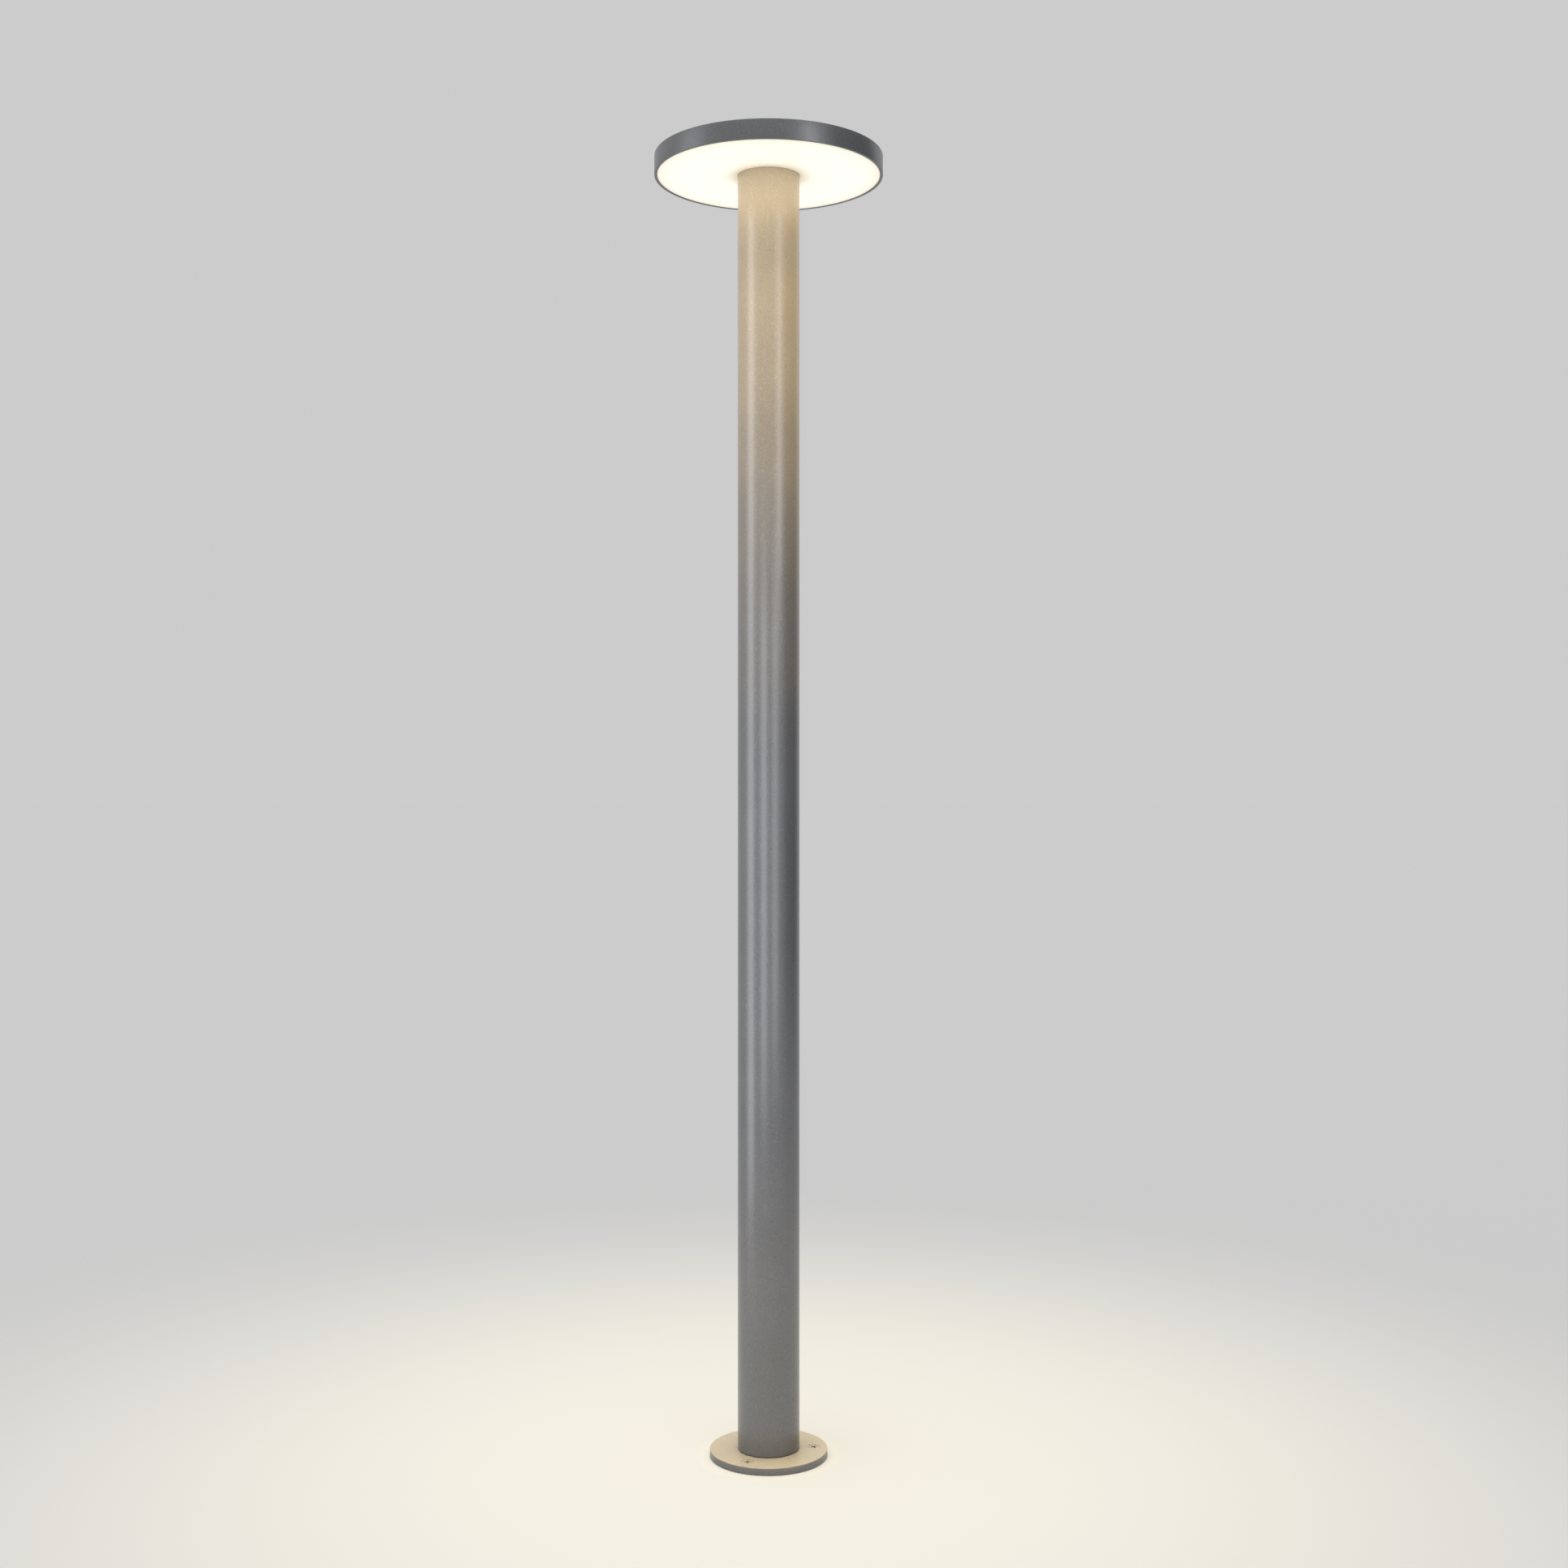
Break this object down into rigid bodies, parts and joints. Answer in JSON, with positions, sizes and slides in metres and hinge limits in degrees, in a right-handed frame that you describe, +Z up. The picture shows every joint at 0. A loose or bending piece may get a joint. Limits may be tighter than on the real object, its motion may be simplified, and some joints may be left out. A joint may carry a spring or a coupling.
{
  "type": "street lamp post",
  "caption": "Low outdoor LED post light: thin disc head with an opal light face underneath, straight round post and a flat round screw-down foot flange.",
  "frame": {"origin": "centre of the foot, at ground level", "axes": "+Z up along the post; the light's first flange screw lies 3.2 degrees round from +X"},
  "size_m": [0.176, 0.176, 1],
  "materials": {
    "graphite_powder_coat": "fine-textured satin powder coat",
    "zinc_plated_steel": "bright zinc plate",
    "black_rubber": "moulded EPDM",
    "clear_silicone": "translucent silicone",
    "thermal_silicone": "soft thermal pad",
    "brass": "turned brass",
    "white_nylon": "moulded nylon",
    "driver_plastic": "moulded polycarbonate",
    "green_laminate": "glass-epoxy laminate",
    "component_plastic": "moulded component bodies",
    "brown_insulation": "soft insulation",
    "blue_insulation": "soft insulation",
    "earth_insulation": "green and yellow insulation",
    "cable_sheath": "cable sheath",
    "red_insulation": "soft insulation",
    "black_insulation": "soft insulation",
    "bare_aluminium": "machined",
    "white_board": "aluminium-core board with white solder mask",
    "led_package": "phosphor under silicone",
    "opal_acrylic": "opal, lit from behind"
  },
  "bodies": {
    "root": {"mounting_ring": "zinc_plated_steel", "base_flange": "graphite_powder_coat", "flange_screws": "graphite_powder_coat", "cable_grommet": "black_rubber", "post_seal": "black_rubber", "post_foot_screws": "zinc_plated_steel", "post_tube": "graphite_powder_coat", "gear_tray": "zinc_plated_steel", "tray_screws": "zinc_plated_steel", "terminal_block": "white_nylon", "terminal_clamps": "brass", "terminal_screws": "zinc_plated_steel", "terminal_mount_screws": "zinc_plated_steel", "driver_case": "driver_plastic", "driver_end_caps": "driver_plastic", "driver_board": "green_laminate", "driver_components": "component_plastic", "driver_screws": "zinc_plated_steel", "live_lead": "brown_insulation", "neutral_lead": "blue_insulation", "earth_lead": "earth_insulation", "earth_screw": "brass", "led_cable": "cable_sheath", "cable_tie": "white_nylon", "led_core_plus": "red_insulation", "led_core_minus": "black_insulation", "head_carrier": "bare_aluminium", "carrier_screws": "zinc_plated_steel", "carrier_grommet": "black_rubber", "head_housing": "graphite_powder_coat", "housing_screws": "zinc_plated_steel", "thermal_pad": "thermal_silicone", "led_board": "white_board", "leds": "led_package", "board_connector": "white_nylon", "board_screws": "zinc_plated_steel", "diffuser": "opal_acrylic", "diffuser_seal": "clear_silicone", "post_collar_seal": "clear_silicone"}
  },
  "joints": []
}
